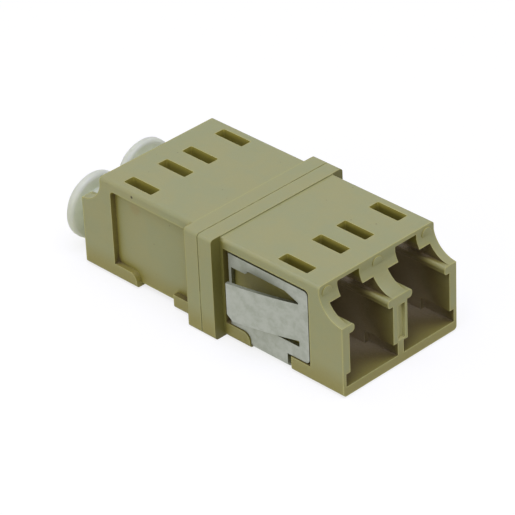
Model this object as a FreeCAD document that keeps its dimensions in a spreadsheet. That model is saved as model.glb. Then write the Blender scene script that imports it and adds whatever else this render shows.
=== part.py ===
# Duplex fibre adapter for small-form-factor plugs with 1.25 mm ferrules.
#
# Two identical moulded halves are welded together at a collar. Each half has two keyed ports, a latch
# track with windows, and two tubes that hold the ends of the alignment sleeves. A folded spring clip
# wraps one half, and a dust cap plugs each port of the other half.
#
# Axes: X along the ports, with the open ports at +X; Y across the pair; Z up, away from the underside.
# Origin: on the weld plane, midway between the ports, at the underside of the collar.

import FreeCAD, Part
import math
import os
import Sketcher
from FreeCAD import Placement, Rotation, Vector

# Each driving size: alias, value in millimetres, meaning.
SIZES = (
    ("port_pitch", 6.25, "between the axes of the two ports"),
    ("body_width", 12.5, "moulding, across Y"),
    ("body_height", 8.8, "moulding, without the collar"),
    ("half_length", 14.2, "weld plane to the port face"),
    ("top_length", 11.93, "weld plane to the end of the top wall"),
    ("edge_round", 0.3, "long outer edges of the moulding"),
    ("scoop_drop", 0.75, "top face to the start of the scoop"),
    ("scoop_radius", 2.43, "hollow curve of the scoop"),
    ("collar_half", 1.49, "collar thickness on each half"),
    ("collar_reach", 0.92, "collar beyond the sides"),
    ("collar_rise", 0.1, "collar beyond the top and underside"),
    ("collar_round", 0.3, "corners of the collar"),
    ("weld_chamfer", 0.06, "edge of the weld face"),
    ("septum_half", 1.3, "wall between the plugs, on each half"),
    ("floor_wall", 0.83, "under the ports"),
    ("plug_height", 4.57, "channel for the plug's body"),
    ("guide_width", 4.7, "between the guide walls"),
    ("toe_width", 5.6, "wider band at the floor of the mouth"),
    ("toe_height", 1.12, "height of that band"),
    ("toe_depth", 3.0, "port face to the end of that band"),
    ("rail_gap", 3.6, "between the two rails above the plug"),
    ("rail_height", 0.7, "rail thickness"),
    ("rail_round", 0.28, "rounded nose of a rail"),
    ("latch_height", 1.15, "room for the latch above the rails"),
    ("slot_width", 2.34, "slot for the latch's finger tab"),
    ("slot_height", 1.21, "slot above the latch room"),
    ("latch_end", 4.0, "weld plane to the end of the latch track"),
    ("window_start", 6.9, "weld plane to the latch windows"),
    ("window_length", 3.05, "along the port"),
    ("window_width", 1.03, "across the port"),
    ("window_spread", 3.6, "between the windows of one port"),
    ("window_round", 0.12, "corners of a window"),
    ("mark_radius", 0.52, "ejector pin marks above the ports"),
    ("mark_inset", 0.84, "side face to the outer marks"),
    ("mark_drop", 0.75, "top face to the marks' centres"),
    ("mark_height", 0.06, "marks stand proud"),
    ("relief_width", 0.76, "hollow in the end of the divider"),
    ("relief_shift", 0.13, "off the middle of the divider"),
    ("relief_depth", 0.28, "depth of that hollow"),
    ("relief_end_wall", 0.16, "left above and below the hollow"),
    ("seat_depth", 0.5, "side recess that holds the clip's leg"),
    ("seat_start", 1.78, "weld plane to the recess"),
    ("seat_end", 10.78, "weld plane to the recess's far end"),
    ("seat_top_wall", 0.84, "top face to the recess"),
    ("seat_round", 0.35, "top corner of the recess"),
    ("foot_height", 1.25, "feet left beside the clip's strap"),
    ("foot_round", 0.7, "one rounded foot on each side"),
    ("near_foot_setback", 0.4, "square foot on the near side, further from the strap"),
    ("far_foot_setback", 0.2, "square foot on the far side, further from the strap"),
    ("sheet", 0.3, "clip's metal"),
    ("bend_radius", 0.18, "inside of the clip's folds"),
    ("seat_gap", 0.1, "leg to the floor of its recess"),
    ("edge_gap", 0.06, "clip to the edges that locate it"),
    ("leg_start", 2.25, "weld plane to the clip's leg"),
    ("leg_top_gap", 0.26, "leg to the top of its recess"),
    ("leg_end_gap", 0.18, "leg to the far end of its recess"),
    ("leg_round", 0.4, "leg's corners at the port end"),
    ("strap_start", 4.36, "weld plane to the strap under the body"),
    ("strap_end", 8.28, "weld plane to the strap's far edge"),
    ("window_end", 9.6, "weld plane to the end of the leg's opening"),
    ("side_strip", 0.26, "metal left at the collar end of the leg"),
    ("low_strip", 1.33, "metal left below the opening"),
    ("slit", 0.33, "cut below the tab"),
    ("slit_round", 0.11, "corners of that cut"),
    ("high_strip", 0.81, "metal left above the opening"),
    ("high_strip_step", 0.33, "extra depth of that strip near its end"),
    ("step_start", 4.02, "weld plane to the strip's step"),
    ("taper_start", 8.2, "weld plane to the taper at the tab's root"),
    ("taper_drop", 0.49, "taper's fall towards the root"),
    ("tab_end", 3.45, "weld plane to the tab's free end"),
    ("tab_root", 9.54, "weld plane to the tab's root"),
    ("root_land", 0.15, "leg left behind the tab's root"),
    ("tab_reach", 1.53, "free end beyond the leg"),
    ("tab_bow", 36.0, "radius of the tab's curve"),
    ("tab_height", 3.27, "tab, across Z"),
    ("tab_corner", 0.5, "cut on the tab's lower free corner"),
    ("sleeve_outer", 1.62, "split sleeve, outside diameter"),
    ("sleeve_bore", 1.25, "split sleeve, bore"),
    ("sleeve_length", 6.8, "split sleeve"),
    ("sleeve_slit", 0.25, "slit along the sleeve"),
    ("sleeve_gap", 0.02, "sleeve to its holder, on the radius"),
    ("sleeve_play", 0.1, "sleeve's end to the conical stop"),
    ("holder_outer", 2.5, "sleeve holder, outside diameter"),
    ("holder_lip", 0.75, "holder's end wall"),
    ("stop_taper", 0.46, "length of the conical stop inside that wall"),
    ("lip_bore", 1.38, "ferrule's hole in the end wall"),
    ("lead_in", 0.15, "chamfer at that hole's mouth"),
    ("cap_radius", 2.88, "dust cap's round head"),
    ("cap_head", 0.94, "thickness of the head"),
    ("cap_rim_round", 0.3, "edges of the head"),
    ("cap_dish", 0.25, "shallow dish in the head's outer face"),
    ("cap_dish_radius", 2.2, "radius of that dish"),
    ("cap_neck_radius", 1.75, "neck behind the head"),
    ("cap_neck", 1.15, "length of the neck"),
    ("cap_gap", 0.06, "shank to the walls of its port"),
    ("cap_edge_round", 0.5, "long edges of the shank"),
    ("cap_tip_chamfer", 0.2, "lead-in at the shank's tip"),
    ("cap_core_radius", 1.0, "hollow in the shank"),
    ("cap_core_depth", 8.5, "depth of that hollow"),
    ("cap_stop_gap", 0.3, "shank's tip to the sleeve holder, pushed home"),
    ("head_standoff", 1.7, "port face to the head, pushed home"),
    ("right_cap_pulled", 0.8, "right-hand cap sits this far out"),
    ("overrun", 1.0, "how far cuts reach past the solid"),
)

# Places that several pieces share, as sheet expressions. Heights are from the moulding's underside.
HALF_WIDTH = "dims.body_width / 2"
HALF_PITCH = "dims.port_pitch / 2"
AXIS_UP = "(dims.floor_wall + dims.plug_height / 2)"
TOE_UP = "(dims.floor_wall + dims.toe_height)"
RAIL_UNDER = "(dims.floor_wall + dims.plug_height)"
RAIL_TOP = f"({RAIL_UNDER} + dims.rail_height)"
LATCH_CEILING = f"({RAIL_TOP} + dims.latch_height)"
SLOT_CEILING = f"({LATCH_CEILING} + dims.slot_height)"
SCOOP_START = "(dims.body_height - dims.scoop_drop)"
SEAT_TOP = "(dims.body_height - dims.seat_top_wall)"
SEAT_FLOOR = f"({HALF_WIDTH} - dims.seat_depth)"
CAVITY_END = "(dims.sleeve_length / 2 + dims.sleeve_play)"
HOLDER_TIP = f"({CAVITY_END} + dims.holder_lip)"
LEG_INNER = f"({SEAT_FLOOR} + dims.seat_gap)"
LEG_OUTER = f"({LEG_INNER} + dims.sheet)"
LEG_UNDER = "(dims.foot_height + dims.edge_gap)"
LEG_TOP = f"({SEAT_TOP} - dims.leg_top_gap)"
LEG_END = "(dims.seat_end - dims.leg_end_gap)"
SLIT_UNDER = f"({LEG_UNDER} + dims.low_strip)"
TAB_UNDER = f"({SLIT_UNDER} + dims.slit)"
TAB_TOP = f"({TAB_UNDER} + dims.tab_height)"
STRIP_UNDER = f"({LEG_TOP} - dims.high_strip)"
STRAP_LOW = "(dims.strap_start - dims.edge_gap)"
STRAP_HIGH = "(dims.strap_end + dims.edge_gap)"

TOLERANCE = 1e-4


# ---- helpers ----------------------------------------------------------------------------------------

def fill_sheet(doc):
    """Put every driving size into the spreadsheet, one row each."""
    sheet = doc.addObject("Spreadsheet::Sheet", "dims")
    for row, (alias, value, meaning) in enumerate(SIZES, 1):
        sheet.set(f"A{row}", alias)
        sheet.set(f"B{row}", str(value))
        sheet.setAlias(f"B{row}", alias)
        sheet.set(f"C{row}", meaning)
    doc.recompute()
    return sheet


def new_body(doc, label):
    """An empty body named after its piece."""
    body = doc.addObject("PartDesign::Body", label)
    body.Label = label
    return body


def new_sketch(body, name, plane, offset=None):
    """A sketch on one of the body's own origin planes, or parallel to it at offset along its normal."""
    sketch = body.newObject("Sketcher::SketchObject", name)
    support = next(item for item in body.Origin.OriginFeatures if item.Role == plane)
    sketch.AttachmentSupport = [(support, "")]
    sketch.MapMode = "FlatFace"
    if offset:
        sketch.setExpression("AttachmentOffset.Base.z", offset)
    return sketch


def pin_point(sketch, geometry, end, across, up):
    """Fix one end of a curve at a place given by two sheet expressions."""
    for kind, expression in (("DistanceX", across), ("DistanceY", up)):
        value = float(sketch.evalExpression(expression))
        index = sketch.addConstraint(Sketcher.Constraint(kind, -1, 1, geometry, end, value))
        sketch.setExpression(f"Constraints[{index}]", expression)


def fix_radius(sketch, geometry, expression):
    """Bind the radius of a circle or arc to a sheet expression."""
    value = float(sketch.evalExpression(expression))
    index = sketch.addConstraint(Sketcher.Constraint("Radius", geometry, value))
    sketch.setExpression(f"Constraints[{index}]", expression)


def arc_through(start, end, radius):
    """The short arc from start to end that bulges to the right of that direction."""
    chord = end - start
    middle = (start + end) * 0.5
    left = Vector(-chord.y, chord.x, 0).normalize()
    centre = middle + left * math.sqrt(radius**2 - (chord.Length / 2)**2)
    first = math.atan2(start.y - centre.y, start.x - centre.x)
    last = math.atan2(end.y - centre.y, end.x - centre.x)
    return Part.ArcOfCircle(Part.Circle(centre, Vector(0, 0, 1), radius), first, last)


def outline(sketch, corners, arcs=None):
    """Close a chain of lines through corners, each a pair of sheet expressions.

    arcs maps a corner's number to the radius of the arc that leaves it, which bulges to the right.
    """
    arcs = arcs or {}
    first = sketch.GeometryCount
    count = len(corners)
    points = [Vector(float(sketch.evalExpression(across)), float(sketch.evalExpression(up)), 0)
              for across, up in corners]
    for number, start in enumerate(points):
        end = points[(number + 1) % count]
        if number in arcs:
            radius = float(sketch.evalExpression(arcs[number]))
            sketch.addGeometry(arc_through(start, end, radius))
        else:
            sketch.addGeometry(Part.LineSegment(start, end))
    for number in range(count):
        here = first + number
        after = first + (number + 1) % count
        sketch.addConstraint(Sketcher.Constraint("Coincident", here, 2, after, 1))
    for number, (across, up) in enumerate(corners):
        pin_point(sketch, first + number, 1, across, up)
        if number in arcs:
            fix_radius(sketch, first + number, arcs[number])


def box_outline(sketch, low_across, low_up, high_across, high_up):
    """A rectangle between two corners."""
    outline(sketch, ((low_across, low_up), (high_across, low_up),
                     (high_across, high_up), (low_across, high_up)))


def circle(sketch, across, up, radius):
    """A circle whose centre and radius are sheet expressions."""
    centre = Vector(float(sketch.evalExpression(across)), float(sketch.evalExpression(up)), 0)
    size = float(sketch.evalExpression(radius))
    geometry = sketch.addGeometry(Part.Circle(centre, Vector(0, 0, 1), size))
    pin_point(sketch, geometry, 3, across, up)
    fix_radius(sketch, geometry, radius)


def pad(body, sketch, length, symmetric=False, reverse=False):
    """Extrude a sketch along its normal."""
    feature = body.newObject("PartDesign::Pad", sketch.Name + "_pad")
    feature.Profile = sketch
    feature.SideType = "Symmetric" if symmetric else "One side"
    feature.Reversed = reverse
    feature.setExpression("Length", length)
    return feature


def pocket(body, sketch, symmetric=False, along_normal=False, depth=None):
    """Cut a sketch through everything, or to a depth, against its normal unless along_normal."""
    feature = body.newObject("PartDesign::Pocket", sketch.Name + "_cut")
    feature.Profile = sketch
    feature.SideType = "Symmetric" if symmetric else "One side"
    feature.Reversed = along_normal
    feature.Type = "Length" if depth else "ThroughAll"
    if depth:
        feature.setExpression("Length", depth)
    return feature


def dress(body, kind, name, size, chosen):
    """Fillet or chamfer the edges of the body's newest feature that chosen accepts."""
    body.Document.recompute()
    base = body.Tip
    names = [f"Edge{number}" for number, edge in enumerate(base.Shape.Edges, 1) if chosen(edge)]
    if not names:
        raise ValueError(f"{body.Label}: {name} has no edge")
    feature = body.newObject(f"PartDesign::{kind}", name)
    feature.Base = (base, names)
    feature.setExpression("Radius" if kind == "Fillet" else "Size", size)
    return feature


def runs_along(edge, axis):
    """Whether a straight edge is parallel to axis."""
    if edge.Curve.TypeId != "Part::GeomLine":
        return False
    return abs(abs(edge.tangentAt(edge.FirstParameter).dot(axis)) - 1) < TOLERANCE


def near(value, *targets):
    """Whether value equals one of the targets."""
    return any(abs(value - target) < TOLERANCE for target in targets)


def reader(doc):
    """A function that works out a sheet expression in millimetres."""
    sheet = doc.getObject("dims")
    return lambda expression: float(sheet.evalExpression(expression.replace("dims.", "")))


X_AXIS = Vector(1, 0, 0)
Y_AXIS = Vector(0, 1, 0)
Z_AXIS = Vector(0, 0, 1)


# ---- moulded half -----------------------------------------------------------------------------------

def add_block(body):
    """Outer block with rounded long edges."""
    sketch = new_sketch(body, "block", "YZ_Plane")
    box_outline(sketch, f"-{HALF_WIDTH}", "0", HALF_WIDTH, "dims.body_height")
    pad(body, sketch, "dims.half_length")
    dress(body, "Fillet", "block_edges", "dims.edge_round", lambda edge: runs_along(edge, X_AXIS))


def cut_scoop(body):
    """Hollow curve that lowers the side walls and the divider in front of the top wall."""
    sketch = new_sketch(body, "scoop", "XZ_Plane")
    corners = (("dims.top_length", SCOOP_START),
               ("dims.half_length", RAIL_TOP),
               ("dims.half_length + dims.overrun", RAIL_TOP),
               ("dims.half_length + dims.overrun", "dims.body_height + dims.overrun"),
               ("dims.top_length", "dims.body_height + dims.overrun"))
    outline(sketch, corners, {0: "dims.scoop_radius"})
    pocket(body, sketch, symmetric=True)


def add_collar(body, size):
    """Half of the collar, with a small chamfer round the weld face."""
    sketch = new_sketch(body, "collar", "YZ_Plane")
    reach = f"({HALF_WIDTH} + dims.collar_reach)"
    box_outline(sketch, f"-{reach}", "-dims.collar_rise", reach, "dims.body_height + dims.collar_rise")
    pad(body, sketch, "dims.collar_half")
    side = size(reach)
    dress(body, "Fillet", "collar_corners", "dims.collar_round",
          lambda edge: runs_along(edge, X_AXIS) and near(abs(edge.CenterOfMass.y), side))
    dress(body, "Chamfer", "weld_edge", "dims.weld_chamfer",
          lambda edge: all(near(vertex.X, 0) for vertex in edge.Vertexes))


def cut_clip_seat(body, size):
    """Side recesses, feet and the channel under the body, where the spring clip sits."""
    # On -Y the foot beside the collar is rounded, on +Y the foot at the port end.
    sides = (("near", SEAT_FLOOR, True, STRAP_LOW, f"({STRAP_HIGH} + dims.near_foot_setback)"),
             ("far", f"-{SEAT_FLOOR}", False, f"({STRAP_LOW} - dims.far_foot_setback)", STRAP_HIGH))
    for name, offset, outward_is_normal, low, high in sides:
        sketch = new_sketch(body, f"{name}_seat", "XZ_Plane", offset)
        corners = (("dims.seat_start", "dims.foot_height"), (low, "dims.foot_height"),
                   (low, "-dims.overrun"), (high, "-dims.overrun"),
                   (high, "dims.foot_height"), ("dims.seat_end", "dims.foot_height"),
                   ("dims.seat_end", SEAT_TOP), ("dims.seat_start", SEAT_TOP))
        outline(sketch, corners)
        pocket(body, sketch, along_normal=outward_is_normal)
    foot_top = size("dims.foot_height")
    rounded = ((size(STRAP_LOW), -1), (size(STRAP_HIGH), 1))
    dress(body, "Fillet", "rounded_feet", "dims.foot_round",
          lambda edge: runs_along(edge, Y_AXIS) and near(edge.CenterOfMass.z, foot_top)
          and any(near(edge.CenterOfMass.x, along) and edge.CenterOfMass.y * side > 0
                  for along, side in rounded))
    seat_end = size("dims.seat_end")
    seat_top = size(SEAT_TOP)
    dress(body, "Fillet", "seat_corners", "dims.seat_round",
          lambda edge: runs_along(edge, Y_AXIS) and near(edge.CenterOfMass.z, seat_top)
          and near(edge.CenterOfMass.x, seat_end))
    channel = new_sketch(body, "strap_channel", "XZ_Plane")
    box_outline(channel, STRAP_LOW, "-dims.overrun", STRAP_HIGH, "dims.sheet + dims.edge_gap")
    pocket(body, channel, symmetric=True)


def cut_ports(body, size):
    """Plug channels with a wider band at the mouth's floor, and the latch tracks above the rails."""
    channel = new_sketch(body, "plug_channel", "YZ_Plane", "dims.septum_half")
    toe = new_sketch(body, "toe_band", "YZ_Plane", "dims.half_length - dims.toe_depth")
    track = new_sketch(body, "latch_track", "YZ_Plane", "dims.latch_end")
    for port in (f"-{HALF_PITCH}", HALF_PITCH):
        def beside(width, side):
            return f"({port} {side} dims.{width} / 2)"
        box_outline(channel, beside("guide_width", "-"), "dims.floor_wall",
                    beside("guide_width", "+"), RAIL_UNDER)
        box_outline(toe, beside("toe_width", "-"), "dims.floor_wall", beside("toe_width", "+"), TOE_UP)
        outline(track, ((beside("rail_gap", "-"), RAIL_UNDER), (beside("rail_gap", "+"), RAIL_UNDER),
                        (beside("rail_gap", "+"), RAIL_TOP), (beside("guide_width", "+"), RAIL_TOP),
                        (beside("guide_width", "+"), LATCH_CEILING),
                        (beside("slot_width", "+"), LATCH_CEILING),
                        (beside("slot_width", "+"), SLOT_CEILING),
                        (beside("slot_width", "-"), SLOT_CEILING),
                        (beside("slot_width", "-"), LATCH_CEILING),
                        (beside("guide_width", "-"), LATCH_CEILING),
                        (beside("guide_width", "-"), RAIL_TOP), (beside("rail_gap", "-"), RAIL_TOP)))
    for sketch in (channel, toe, track):
        pocket(body, sketch, along_normal=True)
    noses = [size(f"{HALF_PITCH} {side} dims.rail_gap / 2") for side in "-+"]
    levels = (size(RAIL_UNDER), size(RAIL_TOP))
    start = size("dims.latch_end")
    dress(body, "Fillet", "rail_noses", "dims.rail_round",
          lambda edge: runs_along(edge, X_AXIS) and near(edge.CenterOfMass.z, *levels)
          and near(abs(edge.CenterOfMass.y), *noses) and edge.CenterOfMass.x > start)


def cut_latch_windows(body, size):
    """Windows in the top wall where the plugs' latches hook in, two over each port."""
    sketch = new_sketch(body, "latch_windows", "XY_Plane", LATCH_CEILING)
    for port in (f"-{HALF_PITCH}", HALF_PITCH):
        for side in "-+":
            middle = f"{port} {side} dims.window_spread / 2"
            box_outline(sketch, "dims.window_start", f"{middle} - dims.window_width / 2",
                        "dims.window_start + dims.window_length", f"{middle} + dims.window_width / 2")
    pocket(body, sketch, along_normal=True)
    ends = (size("dims.window_start"), size("dims.window_start + dims.window_length"))
    ceiling = size(LATCH_CEILING)
    dress(body, "Fillet", "window_corners", "dims.window_round",
          lambda edge: runs_along(edge, Z_AXIS) and near(edge.CenterOfMass.x, *ends)
          and edge.CenterOfMass.z > ceiling)


def add_sleeve_holders(body):
    """Tubes that hold the alignment sleeves, each closed by a conical stop and a hole for the ferrule."""
    sketch = new_sketch(body, "sleeve_holders", "YZ_Plane")
    for port in (f"-{HALF_PITCH}", HALF_PITCH):
        circle(sketch, port, AXIS_UP, "dims.holder_outer / 2")
    pad(body, sketch, HOLDER_TIP)
    bore = new_sketch(body, "sleeve_bore", "XY_Plane", AXIS_UP)
    bore.setExpression("AttachmentOffset.Base.y", HALF_PITCH)
    seat = "(dims.sleeve_outer / 2 + dims.sleeve_gap)"
    outline(bore, (("-dims.overrun", "0"), (HOLDER_TIP, "0"),
                   (HOLDER_TIP, "dims.lip_bore / 2 + dims.lead_in"),
                   (f"{HOLDER_TIP} - dims.lead_in", "dims.lip_bore / 2"),
                   (f"{CAVITY_END} + dims.stop_taper", "dims.lip_bore / 2"),
                   (CAVITY_END, seat), ("-dims.overrun", seat)))
    groove = body.newObject("PartDesign::Groove", "sleeve_bore_cut")
    groove.Profile = bore
    groove.ReferenceAxis = (bore, ["H_Axis"])
    groove.Angle = 360
    mirror = body.newObject("PartDesign::Mirrored", "other_sleeve_bore")
    mirror.Originals = [groove]
    plane = next(item for item in body.Origin.OriginFeatures if item.Role == "XZ_Plane")
    mirror.MirrorPlane = (plane, [""])
    body.Tip = mirror


def mark_port_face(body):
    """Ejector pin marks above the ports, and the hollow in the end of the divider."""
    marks = new_sketch(body, "ejector_marks", "YZ_Plane", "dims.top_length")
    height = "dims.body_height - dims.mark_drop"
    outer = f"({HALF_WIDTH} - dims.mark_inset)"
    for across in (f"-{outer}", "0", outer):
        circle(marks, across, height, "dims.mark_radius")
    pad(body, marks, "dims.mark_height")
    relief = new_sketch(body, "divider_relief", "YZ_Plane", "dims.half_length")
    box_outline(relief, "dims.relief_shift - dims.relief_width / 2", f"{TOE_UP} + dims.relief_end_wall",
                "dims.relief_shift + dims.relief_width / 2", f"{RAIL_UNDER} - dims.relief_end_wall")
    pocket(body, relief, depth="dims.relief_depth")


def make_housing(doc, label, turn):
    """One moulded half, turned about Z by turn degrees."""
    size = reader(doc)
    body = new_body(doc, label)
    add_block(body)
    cut_scoop(body)
    add_collar(body, size)
    cut_clip_seat(body, size)
    cut_ports(body, size)
    cut_latch_windows(body, size)
    add_sleeve_holders(body)
    mark_port_face(body)
    body.Placement = Placement(Vector(0, 0, 0), Rotation(Z_AXIS, turn))
    body.setExpression("Placement.Base.z", "dims.collar_rise")
    return body


# ---- spring clip ------------------------------------------------------------------------------------

def fold_channel(body, size):
    """U-shaped sheet: two legs joined by a strap under the body."""
    sketch = new_sketch(body, "folded_sheet", "YZ_Plane", "dims.leg_start")
    outline(sketch, ((f"-{LEG_OUTER}", "0"), (LEG_OUTER, "0"), (LEG_OUTER, LEG_TOP),
                     (LEG_INNER, LEG_TOP), (LEG_INNER, "dims.sheet"),
                     (f"-{LEG_INNER}", "dims.sheet"), (f"-{LEG_INNER}", LEG_TOP),
                     (f"-{LEG_OUTER}", LEG_TOP)))
    pad(body, sketch, f"{LEG_END} - dims.leg_start")
    sheet = size("dims.sheet")
    dress(body, "Fillet", "inner_folds", "dims.bend_radius",
          lambda edge: runs_along(edge, X_AXIS) and near(edge.CenterOfMass.z, sheet))
    dress(body, "Fillet", "outer_folds", "dims.bend_radius + dims.sheet",
          lambda edge: runs_along(edge, X_AXIS) and near(edge.CenterOfMass.z, 0))


def cut_strap(body, size):
    """Cut the sheet back beside the strap, so that the legs stand on the moulding's feet."""
    low = new_sketch(body, "collar_side_cut", "XZ_Plane")
    box_outline(low, "dims.leg_start - dims.overrun", "-dims.overrun", "dims.strap_start", LEG_UNDER)
    pocket(body, low, symmetric=True)
    high = new_sketch(body, "port_side_cut", "XZ_Plane")
    box_outline(high, "dims.strap_end", "-dims.overrun", f"{LEG_END} + dims.overrun", LEG_UNDER)
    pocket(body, high, symmetric=True)
    under = size(LEG_UNDER)
    over_round_feet = ((size("dims.strap_start"), -1), (size("dims.strap_end"), 1))
    dress(body, "Fillet", "strap_corners", "dims.foot_round",
          lambda edge: runs_along(edge, Y_AXIS) and near(edge.CenterOfMass.z, under)
          and any(near(edge.CenterOfMass.x, along) and edge.CenterOfMass.y * side > 0
                  for along, side in over_round_feet))
    end = size(LEG_END)
    dress(body, "Fillet", "leg_corners", "dims.leg_round",
          lambda edge: runs_along(edge, Y_AXIS) and near(edge.CenterOfMass.x, end))


def cut_leg_openings(body, size):
    """Opening in each leg: the blank that the tab is bent from, with a slit below and room above."""
    sketch = new_sketch(body, "leg_opening", "XZ_Plane")
    left = "(dims.leg_start + dims.side_strip)"
    step_up = f"({STRIP_UNDER} - dims.high_strip_step)"
    root = "(dims.tab_root - dims.root_land)"
    outline(sketch, ((left, SLIT_UNDER), ("dims.window_end", SLIT_UNDER),
                     ("dims.window_end", TAB_UNDER), (root, TAB_UNDER),
                     (root, TAB_TOP), ("dims.window_end", TAB_TOP),
                     ("dims.window_end", f"{STRIP_UNDER} - dims.taper_drop"),
                     ("dims.taper_start", STRIP_UNDER),
                     ("dims.step_start + dims.high_strip_step", STRIP_UNDER),
                     ("dims.step_start", step_up), (left, step_up)))
    pocket(body, sketch, symmetric=True)
    end = size("dims.window_end")
    middle = size(f"({LEG_UNDER} + {LEG_TOP}) / 2")
    dress(body, "Fillet", "slit_ends", "dims.slit_round",
          lambda edge: runs_along(edge, Y_AXIS) and near(edge.CenterOfMass.x, end)
          and edge.CenterOfMass.z < middle)


def add_tabs(body, size):
    """Spring tabs, bent outwards from the port end of each leg towards the collar."""
    sketch = new_sketch(body, "near_tab", "XY_Plane", TAB_UNDER)
    tip = Vector(size("dims.tab_end"), -size(f"{LEG_OUTER} + dims.tab_reach"), 0)
    root = Vector(size("dims.tab_root"), -size(LEG_OUTER), 0)
    radius = size("dims.tab_bow")
    sheet = size("dims.sheet")
    outer = arc_through(tip, root, radius)
    centre = outer.Center
    outer_arc = sketch.addGeometry(outer)
    inner_root = Vector(size("dims.window_end + dims.sheet"), -size(LEG_INNER), 0)
    inner_tip = tip + (centre - tip).normalize() * sheet
    first = math.atan2(inner_tip.y - centre.y, inner_tip.x - centre.x)
    last = math.atan2(inner_root.y - centre.y, inner_root.x - centre.x)
    inner = Part.ArcOfCircle(Part.Circle(centre, Z_AXIS, radius - sheet), first, last)
    inner_arc = sketch.addGeometry(inner)
    tip_line = sketch.addGeometry(Part.LineSegment(inner_tip, tip))
    root_line = sketch.addGeometry(Part.LineSegment(root, inner.EndPoint))
    for left, left_end, right, right_end in ((outer_arc, 1, tip_line, 2), (outer_arc, 2, root_line, 1),
                                             (inner_arc, 1, tip_line, 1), (inner_arc, 2, root_line, 2),
                                             (outer_arc, 3, inner_arc, 3)):
        sketch.addConstraint(Sketcher.Constraint("Coincident", left, left_end, right, right_end))
    pin_point(sketch, outer_arc, 1, "dims.tab_end", f"-({LEG_OUTER} + dims.tab_reach)")
    pin_point(sketch, outer_arc, 2, "dims.tab_root", f"-{LEG_OUTER}")
    fix_radius(sketch, outer_arc, "dims.tab_bow")
    fix_radius(sketch, inner_arc, "dims.tab_bow - dims.sheet")
    sketch.addConstraint(Sketcher.Constraint("PointOnObject", outer_arc, 3, tip_line))
    index = sketch.addConstraint(Sketcher.Constraint("DistanceY", -1, 1, inner_arc, 2, -size(LEG_INNER)))
    sketch.setExpression(f"Constraints[{index}]", f"-{LEG_INNER}")
    tab = pad(body, sketch, "dims.tab_height")
    mirror = body.newObject("PartDesign::Mirrored", "far_tab")
    mirror.Originals = [tab]
    plane = next(item for item in body.Origin.OriginFeatures if item.Role == "XZ_Plane")
    mirror.MirrorPlane = (plane, [""])
    body.Tip = mirror
    under = size(TAB_UNDER)
    tip_x = size("dims.tab_end")
    dress(body, "Chamfer", "tab_corners", "dims.tab_corner",
          lambda edge: edge.Curve.TypeId == "Part::GeomLine" and near(edge.CenterOfMass.z, under)
          and edge.BoundBox.XMax < tip_x + sheet)


def make_clip(doc, label):
    """The folded spring clip round the open half."""
    size = reader(doc)
    body = new_body(doc, label)
    fold_channel(body, size)
    cut_strap(body, size)
    cut_leg_openings(body, size)
    add_tabs(body, size)
    body.setExpression("Placement.Base.z", "dims.collar_rise")
    return body


# ---- alignment sleeves ------------------------------------------------------------------------------

def make_sleeve(doc, label, across):
    """A split ceramic sleeve with its slit at the top, centred on the weld plane."""
    size = reader(doc)
    body = new_body(doc, label)
    ring = new_sketch(body, "ring", "YZ_Plane")
    circle(ring, "0", "0", "dims.sleeve_outer / 2")
    circle(ring, "0", "0", "dims.sleeve_bore / 2")
    pad(body, ring, "dims.sleeve_length", symmetric=True)
    slit = new_sketch(body, "slit", "XY_Plane")
    box_outline(slit, "-(dims.sleeve_length / 2 + dims.overrun)", "-dims.sleeve_slit / 2",
                "dims.sleeve_length / 2 + dims.overrun", "dims.sleeve_slit / 2")
    pocket(body, slit, along_normal=True)
    body.setExpression("Placement.Base.y", across)
    body.setExpression("Placement.Base.z", f"{AXIS_UP} + dims.collar_rise")
    return body


# ---- dust caps --------------------------------------------------------------------------------------

def make_dust_cap(doc, label, across, pulled):
    """A dust cap: a turned head and neck on the port's axis, and a cored shank that fits the port."""
    size = reader(doc)
    body = new_body(doc, label)
    shank_start = "(dims.cap_head + dims.cap_neck)"
    home = "(dims.half_length + dims.head_standoff + dims.cap_head)"
    length = f"({home} - {HOLDER_TIP} - dims.cap_stop_gap)"
    shank = new_sketch(body, "shank", "YZ_Plane", shank_start)
    half_width = "(dims.guide_width / 2 - dims.cap_gap)"
    half_height = "(dims.plug_height / 2 - dims.cap_gap)"
    box_outline(shank, f"-{half_width}", f"-{half_height}", half_width, half_height)
    pad(body, shank, f"{length} - {shank_start}")
    tip = size(length)
    dress(body, "Fillet", "shank_edges", "dims.cap_edge_round", lambda edge: runs_along(edge, X_AXIS))
    dress(body, "Chamfer", "shank_tip", "dims.cap_tip_chamfer",
          lambda edge: near(edge.CenterOfMass.x, tip))
    profile = new_sketch(body, "head_profile", "XY_Plane")
    outline(profile, (("0", "dims.cap_dish_radius"), ("dims.cap_dish", "dims.cap_dish_radius - dims.cap_dish"),
                      ("dims.cap_dish", "0"), (shank_start, "0"), (shank_start, "dims.cap_neck_radius"),
                      ("dims.cap_head", "dims.cap_neck_radius"), ("dims.cap_head", "dims.cap_radius"),
                      ("dims.cap_rim_round", "dims.cap_radius"),
                      ("0", "dims.cap_radius - dims.cap_rim_round")))
    head = body.newObject("PartDesign::Revolution", "head")
    head.Profile = profile
    head.ReferenceAxis = (profile, ["H_Axis"])
    head.Angle = 360
    rim = size("dims.cap_radius")
    inner_face = size("dims.cap_head")
    dress(body, "Fillet", "head_rim", "dims.cap_rim_round",
          lambda edge: edge.Curve.TypeId == "Part::GeomCircle" and near(edge.Curve.Radius, rim)
          and near(edge.CenterOfMass.x, inner_face))
    core = new_sketch(body, "core", "YZ_Plane", length)
    circle(core, "0", "0", "dims.cap_core_radius")
    pocket(body, core, depth="dims.cap_core_depth")
    body.setExpression("Placement.Base.x", f"-{home} - {pulled}")
    body.setExpression("Placement.Base.y", across)
    body.setExpression("Placement.Base.z", f"{AXIS_UP} + dims.collar_rise")
    return body


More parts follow.
